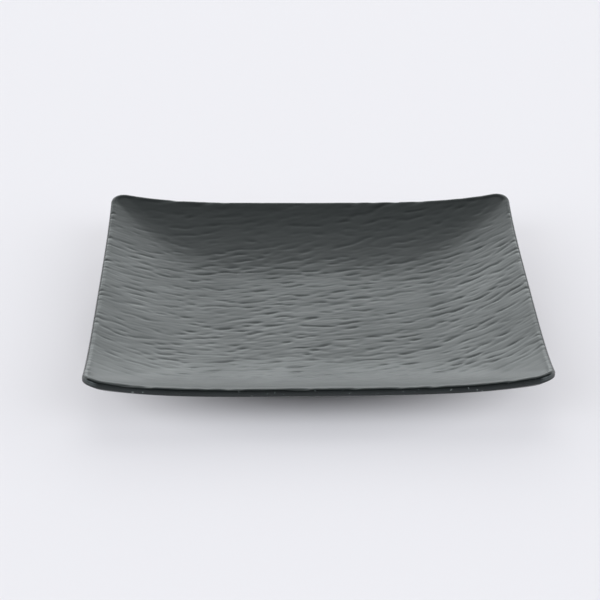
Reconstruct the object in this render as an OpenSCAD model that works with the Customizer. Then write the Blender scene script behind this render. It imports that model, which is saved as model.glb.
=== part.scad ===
// Square dinner plate with a dished face, raised corners and a foot ring.
// It is pressed in two layers: a plain body that carries the foot, and a face layer that covers the
// eating side, laps over the lip and ends at the parting line on the rim's edge.
// The table is Z = 0. The plate is centred on the Z axis and its sides run along X and Y.

/* [Outline] */
// Width of the plate, side to side
plate_w = 255; // [220:1:300]
// Radius of the rim's corners, seen from above
rim_corner_r = 10.5; // [8:0.5:20]
// Tightest radius of the crease that runs down inside each corner, seen from above
crease_r = 6; // [3:0.5:8]

/* [Dish] */
// Width of the flat well in the middle
well_w = 99; // [80:1:120]
// Radius of the well's corners, seen from above
well_corner_r = 26; // [16:1:38]
// Height of the rim over the well, at the middle of a side
dish_depth = 19; // [14:0.5:26]
// Extra height that the rim gains towards a corner
corner_lift = 8.8; // [0:0.1:12]
// How late the rim starts to climb: a higher power keeps more of each side level
lift_power = 4; // [3:0.1:8]

/* [Walls] */
// Thickness of the plate in the well
base_t = 5; // [4:0.1:7]
// Thickness of the face layer, measured straight down
face_t = 1.6; // [1:0.1:2]
// Height of the rim's edge, from the crest of the lip down
rim_t = 4; // [3.4:0.1:5.5]
// Radius of the rounded lip
lip_r = 3; // [2:0.1:3.5]
// Angle that the lip turns down past its crest before it ends at the parting line
lip_end = 52; // [40:1:70]
// Radius of the rim's lower edge
edge_r = 0.6; // [0.3:0.1:1]

/* [Foot] */
// Width of the foot ring, across the outside of the face that it stands on
foot_w = 142; // [124:1:160]
// Height of the foot ring under the base
foot_h = 2.5; // [1.5:0.1:4]
// Width of the foot ring at its chamfers
foot_t = 4.5; // [3:0.1:7]
// Chamfer on both lower edges of the foot ring
foot_chamfer = 0.6; // [0.2:0.1:1]
// Angle that the foot ring's sides lean, so that it leaves the mould
foot_draft = 12; // [0:1:25]

/* [Smoothness] */
// Steps along each straight side
side_steps = 14; // [8:2:18]
// Steps round each corner
corner_steps = 6; // [4:1:8]
// Steps up the wall of the dish
wall_steps = 14; // [8:1:16]
// Steps over the lip
lip_steps = 6; // [4:1:8]

/* [Hidden] */

rim_half = plate_w / 2;
well_half = well_w / 2;
well_z = foot_h + base_t;
crease_half = rim_half - rim_corner_r + crease_r;
crest_half = rim_half - lip_r * sin(lip_end);
part_drop = lip_r - lip_r * cos(lip_end);
edge_steps = 2;

foot_half = foot_w / 2;
foot_corner_r = corner_radius(foot_half);
foot_run = foot_half - foot_corner_r;
foot_root = foot_h + wall_rise(foot_half) + (base_t - face_t) / 2;
foot_lean = (foot_root - foot_chamfer) * tan(foot_draft);

// A ray is one station round the plate: [quarter, place along the side from -1 to 1, angle into the corner].
// Places crowd towards the ends of a side, where the rim climbs.
rays = [
    for (quarter = [0 : 3])
        each concat(
            [for (i = [0 : side_steps - 1]) [quarter, sin(180 * i / side_steps - 90), 0]],
            [for (i = [0 : corner_steps - 1]) [quarter, 1, 90 * i / corner_steps]]
        )
];

// Every level of the plate is a rounded square. Its corners are wide at the well and tighten towards the
// crease, and from there out to the rim the levels run parallel.
function corner_radius(half) =
    half > crease_half
        ? rim_corner_r - rim_half + half
        : well_corner_r + (crease_r - well_corner_r) * (half - well_half) / (crease_half - well_half);

// Where a ray crosses the rounded square of a given half width.
function plan_spot(ray, half) =
    let (
        r = corner_radius(half),
        run = half - r,
        across = run + r * cos(ray[2]),
        along = run * ray[1] + r * sin(ray[2]),
        turn = 90 * ray[0]
    )
    [across * cos(turn) - along * sin(turn), across * sin(turn) + along * cos(turn)];

// Height of the lip's crest over the well, on a ray.
function rim_height(ray) =
    let (
        spot = plan_spot(ray, rim_half),
        reach = abs(spot.x * spot.y) / pow(rim_half, 2)
    )
    dish_depth + corner_lift * pow(reach, lift_power);

// The wall is one arc that leaves the well level. These give its turn, and its rise at a side's middle.
function arc_turn(rise, run) = 2 * atan(rise / run);
function wall_rise(half) =
    let (
        run = crest_half - well_half,
        r = run / sin(arc_turn(dish_depth, run)) - lip_r,
        out = max(half - well_half, 0)
    )
    r - sqrt(r * r - out * out);

// Lines of a section, as points [half width, height over the well].
// Eating face, from the edge of the well to the start of the lip, lowered by a layer's thickness.
function dish_line(ray, drop) =
    let (
        rise = rim_height(ray),
        run = crest_half - well_half,
        turn = arc_turn(rise, run),
        r = run / sin(turn) - lip_r
    )
    [for (i = [0 : wall_steps]) let (a = turn * i / wall_steps) [well_half + r * sin(a), r - r * cos(a) - drop]];

// Lip, over its crest and down to the parting line.
function lip_line(ray) =
    let (
        rise = rim_height(ray),
        turn = arc_turn(rise, crest_half - well_half)
    )
    [
        for (i = [1 : lip_steps])
            let (a = (lip_end + turn) * i / lip_steps - turn)
            [crest_half + lip_r * sin(a), rise - lip_r + lip_r * cos(a)]
    ];

// Underside, from the edge of the well to the rim's lower edge.
function under_line(ray) =
    let (
        rise = rim_height(ray) - rim_t + base_t,
        run = rim_half - well_half - edge_r,
        turn = arc_turn(rise, run),
        r = run / sin(turn) + edge_r
    )
    [for (i = [0 : wall_steps]) let (a = turn * i / wall_steps) [well_half + r * sin(a), r - r * cos(a) - base_t]];

// Rounded lower edge of the rim, from its upright band to the underside.
function edge_line(ray) =
    let (
        rise = rim_height(ray) - rim_t,
        turn = arc_turn(rise + base_t, rim_half - well_half - edge_r)
    )
    [
        for (i = [0 : edge_steps - 1])
            let (a = (90 - turn) * i / edge_steps)
            [rim_half - edge_r + edge_r * cos(a), rise + edge_r - edge_r * sin(a)]
    ];

function reversed(list) = [for (i = [len(list) - 1 : -1 : 0]) list[i]];

// Sections of the two layers, from the well out over the rim and back in underneath.
face_sections = [
    for (ray = rays)
        concat(dish_line(ray, 0), lip_line(ray), reversed(dish_line(ray, face_t)))
];
body_sections = [
    for (ray = rays)
        concat(
            dish_line(ray, face_t),
            [[rim_half, rim_height(ray) - part_drop]],
            edge_line(ray),
            reversed(under_line(ray))
        )
];

// Closed skin through the sections, with a flat cap over each end of them.
// rim_station is where the sections turn back. Past it the other diagonal is cut, so that the two layers
// share the same triangles where they meet.
module lofted(sections, rim_station) {
    count = len(rays);
    stations = len(sections[0]);
    top_pole = count * stations;
    base_pole = top_pole + 1;
    points = concat(
        [
            for (k = [0 : stations - 1], j = [0 : count - 1])
                let (at = sections[j][k], spot = plan_spot(rays[j], at[0]))
                [spot.x, spot.y, well_z + at[1]]
        ],
        [[0, 0, well_z + sections[0][0][1]], [0, 0, well_z + sections[0][stations - 1][1]]]
    );
    bands = [
        for (k = [0 : stations - 2], j = [0 : count - 1])
            let (
                next = (j + 1) % count,
                a = k * count + j,
                b = k * count + next,
                c = b + count,
                d = a + count
            )
            each k < rim_station ? [[a, b, c], [a, c, d]] : [[a, b, d], [b, c, d]]
    ];
    last = (stations - 1) * count;
    caps = [
        for (j = [0 : count - 1])
            let (next = (j + 1) % count)
            each [[top_pole, next, j], [base_pole, last + j, last + next]]
    ];
    polyhedron(points, concat(bands, caps), convexity = 4);
}

// Section of the foot ring: flat land, two chamfers and drafted sides that end inside the base.
module foot_section() {
    polygon([
        [foot_lean, foot_root],
        [0, foot_chamfer],
        [-foot_chamfer, 0],
        [foot_chamfer - foot_t, 0],
        [-foot_t, foot_chamfer],
        [-foot_t - foot_lean, foot_root]
    ]);
}

// Foot ring, swept round a rounded square that follows the levels of the dish.
module foot_ring() {
    for (quarter = [0 : 3])
        rotate(90 * quarter) {
            translate([foot_half, foot_run, 0])
                rotate([90, 0, 0])
                    linear_extrude(2 * foot_run)
                        foot_section();
            translate([foot_run, foot_run, 0])
                rotate_extrude(angle = 90, $fn = 96)
                    translate([foot_corner_r, 0])
                        foot_section();
        }
}

module plate_body() {
    color("#1c1d1d") {
        lofted(body_sections, wall_steps + 1);
        foot_ring();
    }
}

module face_layer() {
    color("#2a2c2c")
        lofted(face_sections, wall_steps + lip_steps);
}

plate_body();
face_layer();
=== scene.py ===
"""Square dinner plate on a table: a rippled face layer over a plain body with a foot ring."""

import math

import bpy
import numpy as np
from mathutils import Matrix, Vector


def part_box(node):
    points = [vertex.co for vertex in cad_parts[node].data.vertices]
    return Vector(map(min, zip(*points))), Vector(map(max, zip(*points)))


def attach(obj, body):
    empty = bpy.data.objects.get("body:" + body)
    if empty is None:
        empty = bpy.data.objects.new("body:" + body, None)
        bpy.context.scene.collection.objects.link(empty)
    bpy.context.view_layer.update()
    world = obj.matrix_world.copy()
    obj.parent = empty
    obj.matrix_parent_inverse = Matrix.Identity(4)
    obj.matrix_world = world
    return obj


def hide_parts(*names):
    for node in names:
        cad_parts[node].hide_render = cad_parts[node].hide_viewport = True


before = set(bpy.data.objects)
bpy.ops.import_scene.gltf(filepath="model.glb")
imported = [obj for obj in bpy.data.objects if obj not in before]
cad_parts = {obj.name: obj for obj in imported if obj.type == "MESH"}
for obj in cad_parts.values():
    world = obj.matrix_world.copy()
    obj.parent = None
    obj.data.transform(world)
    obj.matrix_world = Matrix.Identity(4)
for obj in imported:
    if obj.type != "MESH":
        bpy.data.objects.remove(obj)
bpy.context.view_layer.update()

MM = 0.001

# Outline and dish. In the solids the corners are all alike and a little higher.
RIM_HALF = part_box("face_layer")[1].x
RIM_CORNER_R = 10.5 * MM
WELL_HALF = 49.5 * MM
WELL_CORNER_R = 26 * MM
CREASE_R = 6 * MM
WELL_Z = 7.5 * MM
DISH_DEPTH = 19 * MM
CORNER_LIFT = 8.07 * MM
LIFT_POWER = 4
RIM_TWIST = -0.51 * MM

# Walls and rim. The lip is rounded a little tighter than in the solids.
BASE_T = 5 * MM
FACE_T = 1.6 * MM
RIM_T = 4 * MM
LIP_R = 2.3 * MM
LIP_END = math.radians(70)
EDGE_R = 0.6 * MM
PART_LINE = 0.1 * MM

# Foot ring
FOOT_HALF = 71 * MM
FOOT_T = 4.5 * MM
FOOT_EDGE_R = 0.7 * MM
FOOT_DRAFT = math.radians(12)
FOOT_ROOT_R = 1.2 * MM
FOOT_ROOT_DROP = 0.48 * MM

# Mesh steps. The face's cells are finest across the ripples.
FACE_COLUMNS = 176
FACE_ROWS = 440
FACE_INSET = 4.2 * MM
BODY_SIDE = 110
LIP_STEPS = 9
SEAM_STEPS = 4
EDGE_STEPS = 4
WALL_STEPS = 30
LEVEL_HALVINGS = 30

# Ripples: grooves in the face that break off and braid, nearly side to side
RIPPLE_SEED = 11
RIPPLE_CELL = 0.35 * MM
RIPPLE_TILT = math.radians(14)
RIPPLE_BEND = 0.4
GROOVES = {
    "spacing": 7.5 * MM,
    "spread": 0.4,
    "run": 2.4 * MM,
    "sharp": 0.85,
    "depth": 0.28 * MM,
}
FINE_GROOVES = {
    "spacing": 4 * MM,
    "spread": 0.36,
    "run": 2.4 * MM,
    "sharp": 0.75,
    "depth": 0.06 * MM,
}
DEEPEST = 1.2
BREAK_RUN = (3.6 * MM, 1.8 * MM)
BREAK_AT = -1.6
BREAK_SOFT = 1.9
BREAK_CAP = 1.3
SWELL = {"spacing": 16 * MM, "spread": 0.32, "run": 13 * MM, "height": 0.04 * MM}

# Where the ripples grow calm, as (calm from, lively from, least share), in half widths of the plate
CALM_FRONT = (-0.82, -0.6, 0.2)
CALM_BACK = (0.8, 0.5, 0.62)
CALM_LEFT = (-0.75, -0.5, 0.72)
LIP_FADE = 1.2 * MM

# Melamine. The lip is rubbed smooth, and the band under it is sanded where the flash came off. The
# band's lighter colour is partly that sanding and partly painted reflection of the table.
MELAMINE_COLOR = (0.005, 0.006, 0.006, 1)
MELAMINE_IOR = 1.45
SHEEN_TINT = (0.95, 1, 1, 1)
FACE_ROUGHNESS = 0.42
LIP_ROUGHNESS = 0.26
BODY_ROUGHNESS = 0.38
# Lighter colour of the band: partly sanded finish, partly painted reflection of the table.
BAND_SANDED_AND_SHEEN_COLOR = (0.009, 0.0105, 0.0105, 1)
BAND_ROUGHNESS = 0.4
RIM_WIDTH = 2 * MM

# Its patches, fine grain and nicks, whose pale colour is painted glint. Scales are in grains per
# metre.
PATCH_SCALE = 45
PATCH_DETAIL = 4
PATCH_SPAN = (0.3, 0.7)
PATCH_TONE = (0.75, 1)
PATCH_GLOSS = 0.03
BLACK = (0, 0, 0, 1)
FACE_GRAIN = (2600, 0.02 * MM)
BODY_GRAIN = (1800, 0.015 * MM)
GRAIN_DETAIL = 3
GRAIN_STRENGTH = 0.5
NICK_SCALE = 520
NICK_DETAIL = 2
NICK_SPAN = (0.685, 0.725)
NICK_WIDTH = 0.9 * MM
# Pale colour of the nicks: painted glint on the chips along the edge.
NICK_GLINT_COLOR = (0.13, 0.14, 0.135, 1)

# Camera, fitted to the photograph
CAMERA_AT = Vector((-0.02398, -1.09973, 0.55453))
CAMERA_PITCH = math.radians(26.004)
CAMERA_PAN = math.radians(0.81)
CAMERA_ROLL = math.radians(-0.055)
LENS_MM = 123.93
SENSOR_MM = 36

# Studio: soft lights by direction, as (degrees from the back, elevation, reach, strength)
BACK_LIGHTS = [(0, 15, 25, 3.75), (0, 62, 30, 1.45)]
PAIRED_LIGHTS = [(30, 25, 25, 1.5), (60, 12, 30, 1.8)]
FILL_LIGHTS = [
    (95, 12, 30, 3.2),
    (130, 12, 25, 3.1),
    (130, 35, 25, 3.2),
    (155, 32, 22, 1.3),
]
LIGHT_COLOR = (0.952, 1, 1.01, 1)
FILL_COLOR = (0.925, 1, 1.05, 1)

# Table. A painted white glow takes over a share of what is seen of it, growing between two
# distances from the middle, so it paints light into the plate's shadow away from the plate.
FLOOR_COLOR = (0.764, 0.718, 0.728, 1)
FLOOR_ROUGHNESS = 0.8
FLOOR_SPECULAR = 0.2
FLOOR_HALF = 8.0
PAINTED_GLOW_COLOR = (0.846, 0.842, 0.886, 1)
PAINTED_GLOW_SHARE = 0.43
PAINTED_GLOW_SPAN = (87 * MM, 145 * MM)


def level_corner(half):
    """Corner radius of a level of the dish: parallel to the rim near it, wider towards the well."""
    crease_half = RIM_HALF - RIM_CORNER_R + CREASE_R
    share = (half - WELL_HALF) / (crease_half - WELL_HALF)
    inner = WELL_CORNER_R + (CREASE_R - WELL_CORNER_R) * share
    return np.maximum(inner, RIM_CORNER_R - RIM_HALF + half)


def side_rays(count, half):
    """Rays along one side, between two corners' middles: place on the straight, corner angle."""
    corner = level_corner(half)
    run = half - corner
    reach = run + corner * math.pi / 4
    travel = np.linspace(-reach, reach, count + 1)
    along = np.clip(travel / run, -1, 1)
    angle = np.sign(travel) * np.maximum(np.abs(travel) - run, 0) / corner
    return along, angle


def rim_rays(columns, rows, half):
    """Rays all round, anticlockwise from the front left corner, with the side that each is on."""
    along, angle, quarter = [], [], []
    for side, count in ((3, columns), (0, rows), (1, columns), (2, rows)):
        side_along, side_angle = side_rays(count, half)
        along.append(side_along[:-1])
        angle.append(side_angle[:-1])
        quarter.append(np.full(count, side))
    return np.concatenate(along), np.concatenate(angle), np.concatenate(quarter)


def rays_at(x, y):
    """Half width of the level through each point, with the point's ray."""
    far = np.maximum(np.abs(x), np.abs(y))
    near = np.minimum(np.abs(x), np.abs(y))
    in_corner = near > far - level_corner(far)
    low, high = far, far + WELL_CORNER_R
    for _ in range(LEVEL_HALVINGS):
        middle = (low + high) / 2
        corner = level_corner(middle)
        run = middle - corner
        outside = np.hypot(np.maximum(far - run, 0), np.maximum(near - run, 0)) > corner
        low = np.where(outside, middle, low)
        high = np.where(outside, high, middle)
    half = np.where(in_corner, low, far)
    run = half - level_corner(half)
    along = np.where(in_corner, 1, near / np.maximum(run, MM))
    angle = np.where(in_corner, np.arctan2(near - run, far - run), 0)
    return half, along, angle


def ray_place(along, angle, half, corner):
    """How far out, and how far along its side, a ray crosses a rounded square."""
    run = half - corner
    return run + corner * np.cos(angle), run * along + corner * np.sin(angle)


def rim_rise(along, angle, hand):
    """Height of the lip's crest over the well. The hand, 1 or -1, gives the twist its sense."""
    outward, sideways = ray_place(along, angle, RIM_HALF, RIM_CORNER_R)
    reach = outward * sideways / RIM_HALF**2
    return DISH_DEPTH + CORNER_LIFT * np.abs(reach) ** LIFT_POWER + RIM_TWIST * hand * reach


def ray_rise(rays):
    """Height of the lip's crest over the well, on rays all round the plate."""
    along, angle, quarter = rays
    return rim_rise(along, angle, np.where(quarter % 2 == 0, 1, -1))


def wall_arc(rise, run, fillet):
    """Turn and radius of the arc that leaves the well level and ends in a fillet at the rim."""
    turn = 2 * np.arctan(rise / run)
    return turn, run / np.sin(turn) + fillet


def face_wall(rise):
    """Half width of the lip's crest, and turn and radius of the wall inside it."""
    crest = RIM_HALF - LIP_R * math.sin(LIP_END)
    turn, radius = wall_arc(rise, crest - WELL_HALF, -LIP_R)
    return crest, turn, radius


def dish_height(x, y):
    """Height of the smooth eating face over the table, inside the lip."""
    half, along, angle = rays_at(x, y)
    _, _, radius = face_wall(rim_rise(along, angle, np.sign(x * y)))
    out = np.maximum(half - WELL_HALF, 0)
    return WELL_Z + radius - np.sqrt(radius**2 - out**2)


def wave_noise(rng, axis, waves, spread, run):
    """Complex noise over the plate, with about that many waves per metre across the ripples."""
    steps = np.fft.fftfreq(len(axis), axis[1] - axis[0])
    fx, fy = np.meshgrid(steps, steps)
    along = fx * math.cos(RIPPLE_TILT) + fy * math.sin(RIPPLE_TILT)
    across = fy * math.cos(RIPPLE_TILT) - fx * math.sin(RIPPLE_TILT)
    keep = np.exp(-(((across - waves) / spread) ** 2 + (2 * math.pi * run * along) ** 2) / 2)
    grains = rng.normal(size=keep.shape) + 1j * rng.normal(size=keep.shape)
    noise = np.fft.ifft2(np.fft.fft2(grains) * keep)
    return noise / np.sqrt(np.mean(np.abs(noise) ** 2))


def groove_map(rng, axis, kind):
    """Height of grooves of one kind, which lie where the noise's waves have their crests."""
    waves = 1 / kind["spacing"]
    noise = wave_noise(rng, axis, waves, kind["spread"] * waves, kind["run"])
    crest = np.exp((np.cos(np.angle(noise)) - 1) / kind["sharp"] ** 2)
    return -kind["depth"] * crest * np.minimum(np.abs(noise), DEEPEST)


def break_map(rng, axis):
    """Share of the grooves' depth, which falls to nothing where they break off."""
    along, across = BREAK_RUN
    noise = math.sqrt(2) * wave_noise(rng, axis, 0, 1 / (2 * math.pi * across), along).real
    return np.clip((noise - BREAK_AT) / BREAK_SOFT, 0, BREAK_CAP)


def swell_map(rng, axis):
    """Height of the slow swell under the grooves."""
    waves = 1 / SWELL["spacing"]
    noise = wave_noise(rng, axis, waves, SWELL["spread"] * waves, SWELL["run"])
    return SWELL["height"] * noise.real


def ripple_map():
    """Height of the ripples over the mean face, on a square grid of cells over the plate."""
    rng = np.random.default_rng(RIPPLE_SEED)
    axis = np.linspace(-RIM_HALF, RIM_HALF, int(2 * RIM_HALF / RIPPLE_CELL) + 1)
    breaks = break_map(rng, axis)
    heights = groove_map(rng, axis, GROOVES) * breaks
    heights += groove_map(rng, axis, FINE_GROOVES)
    heights += swell_map(rng, axis)
    return axis, heights


def sample_map(axis, heights, x, y):
    """Bilinear reading of the ripple map at points of the plan. The map repeats past its edges."""
    cell = axis[1] - axis[0]
    column = (x - axis[0]) / cell
    row = (y - RIPPLE_BEND * x**2 - axis[0]) / cell
    i, j = np.floor(column).astype(int), np.floor(row).astype(int)
    s, t = column - i, row - j
    count = len(axis)
    left, right = i % count, (i + 1) % count
    low, high = j % count, (j + 1) % count
    below = heights[low, left] * (1 - s) + heights[low, right] * s
    above = heights[high, left] * (1 - s) + heights[high, right] * s
    return below * (1 - t) + above * t


def ripple_share(x, y):
    """Share of the ripples' depth at a place. They are calmer towards three of the sides."""
    share = 1
    for place, (calm, lively, least) in ((y, CALM_FRONT), (y, CALM_BACK), (x, CALM_LEFT)):
        inward = np.clip((place / RIM_HALF - calm) / (lively - calm), 0, 1)
        share = share * (least + (1 - least) * inward)
    return share


def turned(outward, sideways, quarter):
    """Plan point of a place on one of the four sides: 0 is +X, then round anticlockwise."""
    turns = {
        0: (outward, sideways),
        1: (-sideways, outward),
        2: (-outward, -sideways),
        3: (sideways, -outward),
    }
    return turns[quarter]


def ring(rays, half, corner, z):
    """Closed ring of points where the rays cross a rounded square."""
    along, angle, quarter = rays
    outward, sideways = ray_place(along, angle, half, corner)
    x, y = np.empty_like(along), np.empty_like(along)
    for side in range(4):
        on = quarter == side
        x[on], y[on] = turned(outward[on], sideways[on], side)
    return np.column_stack([x, y, np.broadcast_to(z, x.shape)])


class Skin:
    """Points and faces of a piece, grown outwards from its first loop, ring by ring."""

    def __init__(self, points, faces, loop):
        self.blocks = [points]
        self.faces = faces
        self.loop = loop
        self.count = len(points)

    def take(self, points):
        """Store new points and give their numbers."""
        numbers = self.count + np.arange(len(points))
        self.blocks.append(points)
        self.count += len(points)
        return numbers

    def add_faces(self, *corners):
        """Faces from arrays of their corners' numbers."""
        self.faces.extend(np.column_stack(corners).tolist())

    def open_out(self, points):
        """Triangles from a first loop of one point to a ring."""
        new = self.take(points)
        self.add_faces(new, np.roll(new, -1), np.broadcast_to(self.loop, new.shape))
        self.loop = new

    def grow(self, points):
        """Quads from the last ring to a new one."""
        new = self.take(points)
        self.add_faces(self.loop, new, np.roll(new, -1), np.roll(self.loop, -1))
        self.loop = new

    def close(self, point):
        """Triangles from the last ring to one last point."""
        pole = self.take(np.array([point]))
        last = self.loop
        self.add_faces(np.roll(last, -1), last, np.broadcast_to(pole, last.shape))


def mesh_piece(name, skin, material):
    """Smooth-shaded object from a skin, riding on the plate's one body."""
    mesh = bpy.data.meshes.new(name)
    mesh.from_pydata(np.vstack(skin.blocks).tolist(), [], skin.faces)
    mesh.validate()
    mesh.shade_smooth()
    mesh.materials.append(material)
    piece = bpy.data.objects.new(name, mesh)
    bpy.context.collection.objects.link(piece)
    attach(piece, "root")
    return piece


def face_grid(half):
    """Plan points of a grid that fills the rounded square of that half width."""
    corner = level_corner(half)
    tip = half - corner * (1 - math.sqrt(0.5))
    reach_x, side_x = ray_place(*side_rays(FACE_COLUMNS, half), half, corner)
    reach_y, side_y = ray_place(*side_rays(FACE_ROWS, half), half, corner)
    u = np.linspace(-1, 1, FACE_COLUMNS + 1)[None, :]
    v = np.linspace(-1, 1, FACE_ROWS + 1)[:, None]
    x = side_x[None, :] + u * (reach_y[:, None] - tip)
    y = side_y[:, None] + v * (reach_x[None, :] - tip)
    return x, y


def grid_quads(number):
    """Quads of a grid of vertex numbers."""
    corners = (number[:-1, :-1], number[:-1, 1:], number[1:, 1:], number[1:, :-1])
    return np.column_stack([corner.ravel() for corner in corners]).tolist()


def grid_border(number):
    """Vertex numbers round the border of a grid, in the order of rim_rays."""
    front, right = number[0, :-1], number[:-1, -1]
    back, left = number[-1, :0:-1], number[:0:-1, 0]
    return np.concatenate([front, right, back, left])


def part_height(rise):
    """Height of the parting line, where the lip ends in an edge."""
    return WELL_Z + rise - LIP_R + LIP_R * math.cos(LIP_END)


def lip_rings(rays):
    """Levels of the lip from the face's wall, over the crest and out to the parting line."""
    rise = ray_rise(rays)
    crest, turn, _ = face_wall(rise)
    for step in range(LIP_STEPS + 1):
        tip = (LIP_END + turn) * step / LIP_STEPS - turn
        yield crest + LIP_R * np.sin(tip), WELL_Z + rise - LIP_R + LIP_R * np.cos(tip)
    yield RIM_HALF - PART_LINE, part_height(rise) - PART_LINE


def seam_rings(rays):
    """Levels of the bonded seam between the two layers, from the rim in to the well."""
    rise = ray_rise(rays)
    _, turn, radius = face_wall(rise)
    for share in np.linspace(1, 0, SEAM_STEPS + 1):
        tip = turn * share
        yield WELL_HALF + radius * np.sin(tip), WELL_Z + radius * (1 - np.cos(tip)) - FACE_T


def face_skin():
    """Grid of the eating face with its ripples, the lip round it and the seam under it."""
    axis, ripples = ripple_map()
    half = RIM_HALF - FACE_INSET
    x, y = face_grid(half)
    z = dish_height(x, y) + ripple_share(x, y) * sample_map(axis, ripples, x, y)
    number = np.arange(x.size).reshape(x.shape)
    points = np.column_stack([x.ravel(), y.ravel(), z.ravel()])
    skin = Skin(points, grid_quads(number), grid_border(number))

    rays = rim_rays(FACE_COLUMNS, FACE_ROWS, half)
    for level, height in lip_rings(rays):
        points = ring(rays, level, level_corner(level), height)
        fade = np.clip((RIM_HALF - level) / LIP_FADE, 0, 1)
        points[:, 2] += fade * sample_map(axis, ripples, points[:, 0], points[:, 1])
        skin.grow(points)
    for level, height in seam_rings(rays):
        skin.grow(ring(rays, level, level_corner(level), height))
    skin.close((0, 0, WELL_Z - FACE_T))
    return skin


def make_face(material):
    """Eating face: ripples cut in the dish, and the lip down to the parting line."""
    face = mesh_piece("rippled_face", face_skin(), material)
    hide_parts("face_layer")


def edge_rings(rise, turn):
    """Levels of the rim's rounded lower edge, from its upright band to the underside."""
    low = WELL_Z + rise - RIM_T + EDGE_R
    for step in range(EDGE_STEPS + 1):
        tip = (math.pi / 2 - turn) * step / EDGE_STEPS
        half = RIM_HALF - EDGE_R + EDGE_R * np.cos(tip)
        yield half, level_corner(half), low - EDGE_R * np.sin(tip)


def wall_rings(turn, radius):
    """Levels of the underside, from the rim's lower edge in to the foot ring."""
    foot_turn = np.arcsin((FOOT_HALF + FOOT_ROOT_R - WELL_HALF) / radius)
    for step in range(1, WALL_STEPS + 1):
        tip = turn + (foot_turn - turn) * step / WALL_STEPS
        half = WELL_HALF + radius * np.sin(tip)
        yield half, level_corner(half), WELL_Z - BASE_T + radius * (1 - np.cos(tip))


def foot_rings(radius):
    """Levels of the foot ring: down outside, across the land, up inside and over the base."""
    corner = level_corner(FOOT_HALF)
    base = WELL_Z - BASE_T
    lean = math.tan(FOOT_DRAFT)

    def level(offset, z):
        return FOOT_HALF + offset, corner + offset, z

    def root(half):
        return base + radius - np.sqrt(radius**2 - (half - WELL_HALF) ** 2)

    outer_root = root(FOOT_HALF)
    inner_root = root(FOOT_HALF - FOOT_T)
    yield level(lean * (outer_root - FOOT_EDGE_R), outer_root - FOOT_ROOT_DROP)
    for step in range(EDGE_STEPS + 1):
        tip = math.pi / 2 * step / EDGE_STEPS
        yield level(FOOT_EDGE_R * (math.cos(tip) - 1), FOOT_EDGE_R * (1 - math.sin(tip)))
    for step in range(EDGE_STEPS + 1):
        tip = math.pi / 2 * (1 - step / EDGE_STEPS)
        yield level(FOOT_EDGE_R * (1 - math.cos(tip)) - FOOT_T, FOOT_EDGE_R * (1 - math.sin(tip)))
    yield level(-FOOT_T - lean * (inner_root - FOOT_EDGE_R), inner_root - FOOT_ROOT_DROP)
    yield level(-FOOT_T - FOOT_ROOT_R, inner_root)
    yield WELL_HALF, WELL_CORNER_R, base


def under_rings(rays):
    """Levels of the body from the middle of the seam out, down the rim and in under the plate."""
    for half, height in reversed(list(seam_rings(rays))):
        yield half, level_corner(half), height
    rise = ray_rise(rays)
    part = part_height(rise)
    yield RIM_HALF - PART_LINE, RIM_CORNER_R, part - PART_LINE
    yield RIM_HALF, RIM_CORNER_R, part - 2 * PART_LINE
    turn, radius = wall_arc(rise - RIM_T + BASE_T, RIM_HALF - WELL_HALF - EDGE_R, EDGE_R)
    yield from edge_rings(rise, turn)
    yield from wall_rings(turn, radius)
    yield from foot_rings(radius)


def body_skin():
    """Seam, rim, underside and foot ring, from the middle of the seam to that of the base."""
    rays = rim_rays(BODY_SIDE, BODY_SIDE, RIM_HALF)
    rings = (ring(rays, half, corner, height) for half, corner, height in under_rings(rays))
    skin = Skin(np.array([[0, 0, WELL_Z - FACE_T]]), [], np.array([0]))
    skin.open_out(next(rings))
    for points in rings:
        skin.grow(points)
    skin.close((0, 0, WELL_Z - BASE_T))
    return skin


def make_body(material):
    """Body of the plate: the rim's plain band, the underside and the foot ring."""
    body = mesh_piece("plate_underbody", body_skin(), material)
    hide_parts("plate_body")


def noise_node(nodes, links, place, scale, detail):
    """Noise over the plate, at that many grains per metre."""
    noise = nodes.new("ShaderNodeTexNoise")
    noise.inputs["Scale"].default_value = scale
    noise.inputs["Detail"].default_value = detail
    links.new(place.outputs["Object"], noise.inputs["Vector"])
    return noise.outputs["Fac"]


def ramp_node(nodes, links, value, span, ends):
    """Value turned into another that runs between two ends over a span."""
    ramp = nodes.new("ShaderNodeMapRange")
    ramp.inputs["From Min"].default_value, ramp.inputs["From Max"].default_value = span
    ramp.inputs["To Min"].default_value, ramp.inputs["To Max"].default_value = ends
    links.new(value, ramp.inputs["Value"])
    return ramp.outputs["Result"]


def math_node(nodes, links, operation, first, second):
    """One sum on two values of the node tree."""
    node = nodes.new("ShaderNodeMath")
    node.operation = operation
    links.new(first, node.inputs[0])
    links.new(second, node.inputs[1])
    return node.outputs["Value"]


def mix_node(nodes, links, factor, kind, first, second):
    """Blend of two colours or values by a factor. Each end is a socket or a constant."""
    mix = nodes.new("ShaderNodeMix")
    mix.data_type = kind
    links.new(factor, mix.inputs["Factor"])
    ends = [socket for socket in mix.inputs if socket.enabled and socket.name in ("A", "B")]
    for socket, end in zip(ends, (first, second)):
        if isinstance(end, bpy.types.NodeSocket):
            links.new(end, socket)
        else:
            socket.default_value = end
    return next(socket for socket in mix.outputs if socket.enabled)


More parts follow.
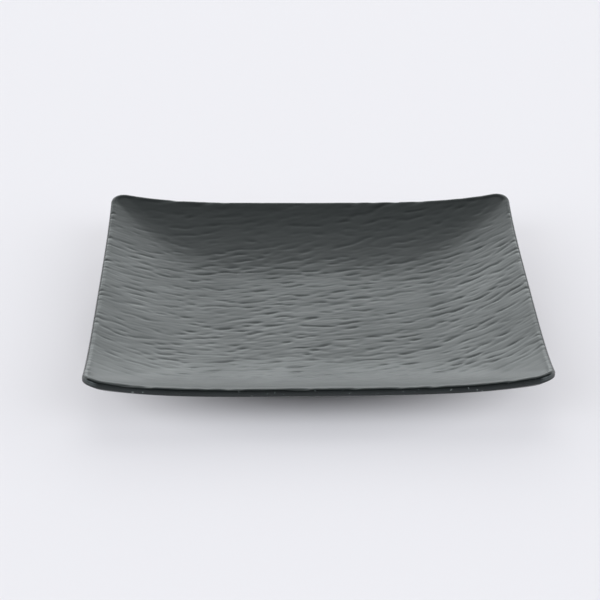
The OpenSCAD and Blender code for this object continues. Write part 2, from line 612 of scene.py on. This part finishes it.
def rim_mask(nodes, links, place, width):
    """1 at the rim's edge, falling to 0 at that width in from it. Height plays no part."""
    run = RIM_HALF - RIM_CORNER_R
    zero = (0, 0, 0)
    steps = (
        ("ABSOLUTE", zero),
        ("SUBTRACT", (run, run, 1)),
        ("MAXIMUM", zero),
        ("LENGTH", zero),
    )
    value = place.outputs["Object"]
    for operation, second in steps:
        node = nodes.new("ShaderNodeVectorMath")
        node.operation = operation
        node.inputs[1].default_value = second
        links.new(value, node.inputs[0])
        value = node.outputs["Value" if operation == "LENGTH" else "Vector"]
    span = (RIM_CORNER_R - width, RIM_CORNER_R - width / 2)
    return ramp_node(nodes, links, value, span, (0, 1))


def nicks_and_glints(nodes, links, place, tone):
    """Colour with pale nicks along the edge of the rim: chips in it, painted pale as the glints
    that they catch.
    """
    specks = noise_node(nodes, links, place, NICK_SCALE, NICK_DETAIL)
    specks = ramp_node(nodes, links, specks, NICK_SPAN, (0, 1))
    edge = rim_mask(nodes, links, place, NICK_WIDTH)
    nick_glints = math_node(nodes, links, "MULTIPLY", specks, edge)
    return mix_node(nodes, links, nick_glints, "RGBA", tone, NICK_GLINT_COLOR)


def melamine(name, roughness, rim_color, rim_roughness, grain):
    """Moulded melamine: near black, patchy in gloss, finely grained, with its own rim roughness and
    colour. A lighter rim colour, as on the body's band, is partly sanded finish and partly painted
    reflection.
    """
    material = bpy.data.materials.new(name)
    material.use_nodes = True
    nodes, links = material.node_tree.nodes, material.node_tree.links
    shader = nodes["Principled BSDF"]
    shader.inputs["IOR"].default_value = MELAMINE_IOR
    shader.inputs["Specular Tint"].default_value = SHEEN_TINT
    place = nodes.new("ShaderNodeTexCoord")
    rim = rim_mask(nodes, links, place, RIM_WIDTH)
    patches = noise_node(nodes, links, place, PATCH_SCALE, PATCH_DETAIL)

    # Rim colour: on the body's band, partly painted reflection of the table.
    tone = mix_node(nodes, links, rim, "RGBA", MELAMINE_COLOR, rim_color)
    uneven = ramp_node(nodes, links, patches, PATCH_SPAN, PATCH_TONE)
    tone = mix_node(nodes, links, uneven, "RGBA", BLACK, tone)
    links.new(nicks_and_glints(nodes, links, place, tone), shader.inputs["Base Color"])

    ends = (roughness - PATCH_GLOSS, roughness + PATCH_GLOSS)
    gloss = ramp_node(nodes, links, patches, PATCH_SPAN, ends)
    gloss = mix_node(nodes, links, rim, "FLOAT", gloss, rim_roughness)
    links.new(gloss, shader.inputs["Roughness"])

    grain_scale, grain_height = grain
    bump = nodes.new("ShaderNodeBump")
    bump.inputs["Strength"].default_value = GRAIN_STRENGTH
    bump.inputs["Distance"].default_value = grain_height
    grains = noise_node(nodes, links, place, grain_scale, GRAIN_DETAIL)
    links.new(grains, bump.inputs["Height"])
    links.new(bump.outputs["Normal"], shader.inputs["Normal"])
    return material


def painted_glow_share(nodes, links):
    """Share of the painted white glow, for the floor that is seen or mirrored: none under the
    plate, more away from it, where it lightens the plate's shadow.
    """
    rays = nodes.new("ShaderNodeLightPath").outputs
    seen = math_node(nodes, links, "MAXIMUM", rays["Is Camera Ray"], rays["Is Glossy Ray"])
    seen = math_node(nodes, links, "MAXIMUM", seen, rays["Is Transmission Ray"])
    away = nodes.new("ShaderNodeVectorMath")
    away.operation = "LENGTH"
    links.new(nodes.new("ShaderNodeTexCoord").outputs["Object"], away.inputs[0])
    share = ramp_node(nodes, links, away.outputs["Value"], PAINTED_GLOW_SPAN, (0, PAINTED_GLOW_SHARE))
    return math_node(nodes, links, "MULTIPLY", seen, share)


def floor_white():
    """Matt white that keeps the plate's shadow under it, and blends into a painted white glow away
    from it, which lightens that shadow.
    """
    material = bpy.data.materials.new("table_white")
    material.use_nodes = True
    material.cycles.emission_sampling = "NONE"
    nodes, links = material.node_tree.nodes, material.node_tree.links
    matt = nodes["Principled BSDF"]
    matt.inputs["Base Color"].default_value = FLOOR_COLOR
    matt.inputs["Roughness"].default_value = FLOOR_ROUGHNESS
    matt.inputs["Specular IOR Level"].default_value = FLOOR_SPECULAR
    # Painted light: a white glow, not a lamp, that lightens the floor and the plate's shadow away
    # from the plate.
    painted_glow = nodes.new("ShaderNodeEmission")
    painted_glow.inputs["Color"].default_value = PAINTED_GLOW_COLOR
    mixed = nodes.new("ShaderNodeMixShader")
    links.new(painted_glow_share(nodes, links), mixed.inputs["Fac"])
    links.new(matt.outputs["BSDF"], mixed.inputs[1])
    links.new(painted_glow.outputs["Emission"], mixed.inputs[2])
    links.new(mixed.outputs["Shader"], nodes["Material Output"].inputs["Surface"])
    return material


def make_floor():
    """White table, wide enough to fill every view."""
    mesh = bpy.data.meshes.new("table")
    signs = ((-1, -1), (1, -1), (1, 1), (-1, 1))
    corners = [(x * FLOOR_HALF, y * FLOOR_HALF, 0) for x, y in signs]
    mesh.from_pydata(corners, [], [(0, 1, 2, 3)])
    mesh.materials.append(floor_white())
    table = bpy.data.objects.new("table", mesh)
    bpy.context.collection.objects.link(table)


def both_sides(lights):
    """Lights with their mirror images on the other side of the table."""
    mirrored = [(-azimuth, *others) for azimuth, *others in lights]
    return lights + mirrored


def sky_patch(nodes, links, place, light):
    """Brightness of the sky from one light, which fades out at its reach."""
    azimuth, elevation, reach = [math.radians(angle) for angle in light[:3]]
    level = math.cos(elevation)
    facing = nodes.new("ShaderNodeVectorMath")
    facing.operation = "DOT_PRODUCT"
    facing.inputs[1].default_value = (
        level * math.sin(azimuth),
        level * math.cos(azimuth),
        math.sin(elevation),
    )
    links.new(place.outputs["Generated"], facing.inputs[0])
    patch = nodes.new("ShaderNodeMapRange")
    patch.interpolation_type = "SMOOTHSTEP"
    patch.inputs["From Min"].default_value = math.cos(reach)
    patch.inputs["To Max"].default_value = light[3]
    links.new(facing.outputs["Value"], patch.inputs["Value"])
    return patch.outputs["Result"]


def sky_light(nodes, links, lights):
    """Brightness of the sky from several lights."""
    place = nodes.new("ShaderNodeTexCoord")
    total = sky_patch(nodes, links, place, lights[0])
    for light in lights[1:]:
        total = math_node(nodes, links, "ADD", sky_patch(nodes, links, place, light), total)
    return total


def make_light():
    """Soft studio round the table: lights behind the plate, cooler ones beside and before it."""
    world = bpy.data.worlds.new("studio")
    bpy.context.scene.world = world
    world.use_nodes = True
    nodes, links = world.node_tree.nodes, world.node_tree.links
    both = nodes.new("ShaderNodeAddShader")
    groups = (
        (BACK_LIGHTS + both_sides(PAIRED_LIGHTS), LIGHT_COLOR),
        (both_sides(FILL_LIGHTS), FILL_COLOR),
    )
    for socket, (lights, color) in zip(both.inputs, groups):
        sky = nodes.new("ShaderNodeBackground")
        sky.inputs["Color"].default_value = color
        links.new(sky_light(nodes, links, lights), sky.inputs["Strength"])
        links.new(sky.outputs["Background"], socket)
    links.new(both.outputs["Shader"], nodes["World Output"].inputs["Surface"])


def make_camera():
    """Camera at the photograph's place and angle."""
    data = bpy.data.cameras.new("camera")
    data.lens = LENS_MM
    data.sensor_width = SENSOR_MM
    camera = bpy.data.objects.new("camera", data)
    bpy.context.collection.objects.link(camera)
    camera.matrix_world = (
        Matrix.Translation(CAMERA_AT)
        @ Matrix.Rotation(-CAMERA_PAN, 4, "Z")
        @ Matrix.Rotation(math.pi / 2 - CAMERA_PITCH, 4, "X")
        @ Matrix.Rotation(CAMERA_ROLL, 4, "Z")
    )
    bpy.context.scene.camera = camera


make_face(melamine("face_melamine", FACE_ROUGHNESS, MELAMINE_COLOR, LIP_ROUGHNESS, FACE_GRAIN))
make_body(melamine("body_melamine", BODY_ROUGHNESS, BAND_SANDED_AND_SHEEN_COLOR, BAND_ROUGHNESS, BODY_GRAIN))
make_floor()
make_light()
make_camera()
bpy.context.scene.view_settings.view_transform = "Standard"
